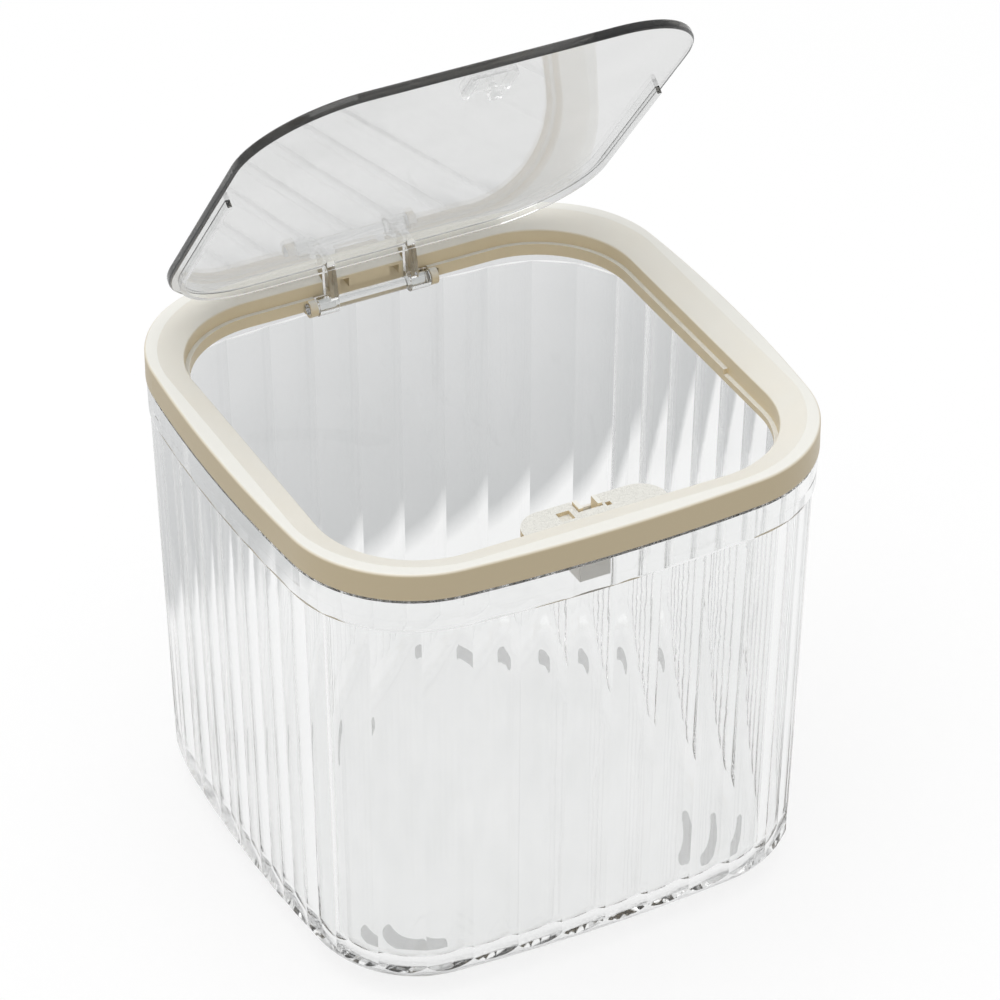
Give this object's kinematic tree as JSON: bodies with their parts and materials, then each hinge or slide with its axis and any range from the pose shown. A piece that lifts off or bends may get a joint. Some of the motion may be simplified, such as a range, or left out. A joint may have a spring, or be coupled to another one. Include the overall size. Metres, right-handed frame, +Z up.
{
  "type": "desktop trash can",
  "caption": "Clear fluted square tub with rounded corners, capped by a pale ring that carries a clear lid, sprung open at the rear and held shut by a press latch at the front.",
  "frame": {"origin": "on the ground, under the middle of the ring", "axes": "+Z up, front with the latch towards -Y, hinge at +Y, left towards -X"},
  "size_m": [0.143, 0.143, 0.225],
  "materials": {
    "tub_clear": "clear, glossy",
    "foot_clear": "clear, frosted",
    "rim_cream": "satin",
    "cover_cream": "fine spark texture",
    "latch_grey": "satin",
    "slider_cream": "satin",
    "spring_steel": "drawn wire",
    "pin_clear": "clear, glossy",
    "lid_clear": "clear, glossy",
    "striker_clear": "clear, glossy"
  },
  "bodies": {
    "tub": {"bin_body": "tub_clear", "foot_front_left": "foot_clear", "foot_front_right": "foot_clear", "foot_rear_left": "foot_clear", "foot_rear_right": "foot_clear"},
    "ring": {"rim_ring": "rim_cream", "latch_cover": "cover_cream", "latch_housing": "latch_grey", "latch_spring": "spring_steel", "latch_follower": "spring_steel", "hinge_pin": "pin_clear"},
    "lid": {"lid_panel": "lid_clear", "lid_striker": "striker_clear"},
    "slider": {"latch_slider": "slider_cream"}
  },
  "joints": [
    {"name": "ring_lift", "type": "slide", "parent": "tub", "child": "ring", "axis": [0, 0, 1], "range_m": [0, 0.03]},
    {"name": "lid_hinge", "type": "hinge", "parent": "ring", "child": "lid", "pos_m": [0, 0.0595, 0.1222], "axis": [1, 0, 0], "range_deg": [0, 51.9], "stiffness_Nm_per_rad": 0.0177, "springref_deg": -84.22},
    {"name": "latch_press", "type": "slide", "parent": "ring", "child": "slider", "axis": [0, 0, -1], "range_m": [0, 0.0024], "stiffness_N_per_m": 400, "springref_m": -0.001, "deforming": ["latch_spring"]}
  ]
}
